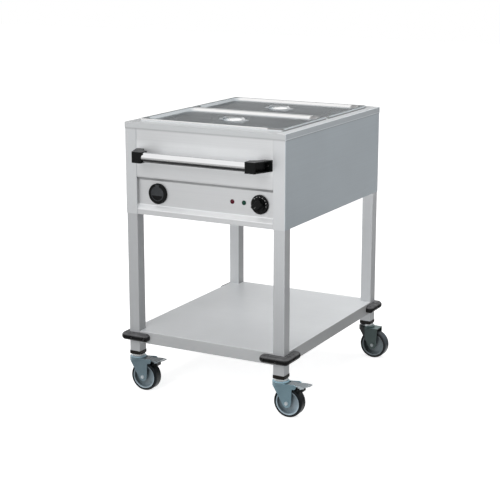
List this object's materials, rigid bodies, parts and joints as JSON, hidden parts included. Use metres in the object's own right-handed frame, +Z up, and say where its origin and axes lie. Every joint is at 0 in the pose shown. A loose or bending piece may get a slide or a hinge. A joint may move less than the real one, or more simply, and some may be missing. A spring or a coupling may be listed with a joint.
{
  "type": "bain marie trolley",
  "caption": "Stainless hot-food trolley: heated water well with lidded pans, front controls and push handle, lower shelf and braked swivel casters.",
  "frame": {"origin": "on the floor under the middle of the whole footprint, with the push handle, bumpers and brake pedals included", "axes": "+Z up, +Y from the handle and control side to the back, +X to the right seen from the control side"},
  "size_m": [0.6976, 0.8316, 0.9275],
  "materials": {
    "steel_sheet": "fine brushed",
    "steel_tube": "fine brushed",
    "steel_bright": "satin",
    "chrome_tube": "polished",
    "black_plastic": "satin",
    "bumper_rubber": "satin",
    "fastener_steel": "plain",
    "zinc": "zinc plated",
    "wheel_plastic": "satin",
    "tyre_rubber": "matte",
    "red_lens": "gloss",
    "green_lens": "gloss",
    "brass": "plain",
    "valve_steel": "plain"
  },
  "bodies": {
    "frame": {"worktop": "steel_sheet", "water_tank": "steel_bright", "pan_divider_bar": "steel_bright", "side_panel_left": "steel_sheet", "side_panel_right": "steel_sheet", "front_panel": "steel_sheet", "rear_panel": "steel_sheet", "rear_panel_screws": "fastener_steel", "bottom_cover": "steel_sheet", "leg_end_caps": "black_plastic", "shelf": "steel_sheet", "corner_bumpers": "bumper_rubber", "bumper_screws": "fastener_steel", "push_handle_bar": "chrome_tube", "handle_bracket_left": "black_plastic", "handle_bracket_right": "black_plastic", "handle_screws": "fastener_steel", "inlet_housing": "black_plastic", "inlet_pins": "brass", "pilot_lamp_red": "red_lens", "pilot_lamp_green": "green_lens", "thermostat": "black_plastic", "thermostat_bulb": "brass", "heating_elements": "fastener_steel", "terminal_block": "black_plastic", "drain_valve": "brass", "caster_heads": "zinc", "leg_front_left": "steel_tube", "leg_front_right": "steel_tube", "leg_rear_left": "steel_tube", "leg_rear_right": "steel_tube"},
    "inlet_flap": {"inlet_flap": "black_plastic"},
    "thermostat_knob": {"thermostat_knob": "black_plastic", "thermostat_shaft": "fastener_steel"},
    "drain_lever": {"drain_lever": "valve_steel", "drain_ball": "valve_steel"},
    "pan_front": {"pan_front": "steel_bright"},
    "pan_rear": {"pan_rear": "steel_bright"},
    "lid_front": {"lid_front": "steel_bright", "lid_handle_front": "steel_bright"},
    "lid_rear": {"lid_rear": "steel_bright", "lid_handle_rear": "steel_bright"},
    "caster_front_left": {"caster_fork_front_left": "zinc", "caster_axle_front_left": "zinc"},
    "wheel_front_left": {"caster_wheel_front_left": "wheel_plastic", "caster_tyre_front_left": "tyre_rubber"},
    "caster_front_right": {"caster_fork_front_right": "zinc", "caster_axle_front_right": "zinc"},
    "wheel_front_right": {"caster_wheel_front_right": "wheel_plastic", "caster_tyre_front_right": "tyre_rubber"},
    "caster_rear_left": {"caster_fork_rear_left": "zinc", "caster_axle_rear_left": "zinc"},
    "wheel_rear_left": {"caster_wheel_rear_left": "wheel_plastic", "caster_tyre_rear_left": "tyre_rubber"},
    "caster_rear_right": {"caster_fork_rear_right": "zinc", "caster_axle_rear_right": "zinc"},
    "wheel_rear_right": {"caster_wheel_rear_right": "wheel_plastic", "caster_tyre_rear_right": "tyre_rubber"},
    "pedal_front_left": {"brake_pedal_front_left": "zinc"},
    "pedal_front_right": {"brake_pedal_front_right": "zinc"}
  },
  "joints": [
    {"name": "inlet_flap_hinge", "type": "hinge", "parent": "frame", "child": "inlet_flap", "pos_m": [-0.2085, -0.3372, 0.7165], "axis": [-1, 0, 0], "range_deg": [0, 100], "stiffness_Nm_per_rad": 0.02, "springref_deg": -11.46},
    {"name": "thermostat_turn", "type": "hinge", "parent": "frame", "child": "thermostat_knob", "pos_m": [0.168, -0.3318, 0.687], "axis": [0, 1, 0], "range_deg": [0, 290]},
    {"name": "drain_lever_turn", "type": "hinge", "parent": "frame", "child": "drain_lever", "pos_m": [-0.182, 0.215, 0.579], "axis": [-1, 0, 0], "range_deg": [0, 90]},
    {"name": "pan_front_lift", "type": "slide", "parent": "frame", "child": "pan_front", "axis": [0, 0, 1], "range_m": [0, 0.25]},
    {"name": "lid_front_lift", "type": "slide", "parent": "pan_front", "child": "lid_front", "axis": [0, 0, 1], "range_m": [0, 0.3]},
    {"name": "pan_rear_lift", "type": "slide", "parent": "frame", "child": "pan_rear", "axis": [0, 0, 1], "range_m": [0, 0.25]},
    {"name": "lid_rear_lift", "type": "slide", "parent": "pan_rear", "child": "lid_rear", "axis": [0, 0, 1], "range_m": [0, 0.3]},
    {"name": "swivel_front_left", "type": "hinge", "parent": "frame", "child": "caster_front_left", "pos_m": [-0.3048, -0.3238, 0.108], "axis": [0, 0, 1], "continuous": true},
    {"name": "wheel_front_left_spin", "type": "hinge", "parent": "caster_front_left", "child": "wheel_front_left", "pos_m": [-0.2733, -0.3238, 0.05], "axis": [0, 1, 0], "continuous": true},
    {"name": "brake_front_left_press", "type": "hinge", "parent": "caster_front_left", "child": "pedal_front_left", "pos_m": [-0.2493, -0.3238, 0.107], "axis": [0, 1, 0], "range_deg": [0, 10]},
    {"name": "swivel_front_right", "type": "hinge", "parent": "frame", "child": "caster_front_right", "pos_m": [0.2408, -0.3238, 0.108], "axis": [0, 0, 1], "continuous": true},
    {"name": "wheel_front_right_spin", "type": "hinge", "parent": "caster_front_right", "child": "wheel_front_right", "pos_m": [0.2723, -0.3238, 0.05], "axis": [0, 1, 0], "continuous": true},
    {"name": "brake_front_right_press", "type": "hinge", "parent": "caster_front_right", "child": "pedal_front_right", "pos_m": [0.2963, -0.3238, 0.107], "axis": [0, 1, 0], "range_deg": [0, 10]},
    {"name": "swivel_rear_left", "type": "hinge", "parent": "frame", "child": "caster_rear_left", "pos_m": [-0.3048, 0.3718, 0.108], "axis": [0, 0, 1], "continuous": true},
    {"name": "wheel_rear_left_spin", "type": "hinge", "parent": "caster_rear_left", "child": "wheel_rear_left", "pos_m": [-0.2733, 0.3718, 0.05], "axis": [0, 1, 0], "continuous": true},
    {"name": "swivel_rear_right", "type": "hinge", "parent": "frame", "child": "caster_rear_right", "pos_m": [0.2408, 0.3718, 0.108], "axis": [0, 0, 1], "continuous": true},
    {"name": "wheel_rear_right_spin", "type": "hinge", "parent": "caster_rear_right", "child": "wheel_rear_right", "pos_m": [0.2723, 0.3718, 0.05], "axis": [0, 1, 0], "continuous": true}
  ]
}
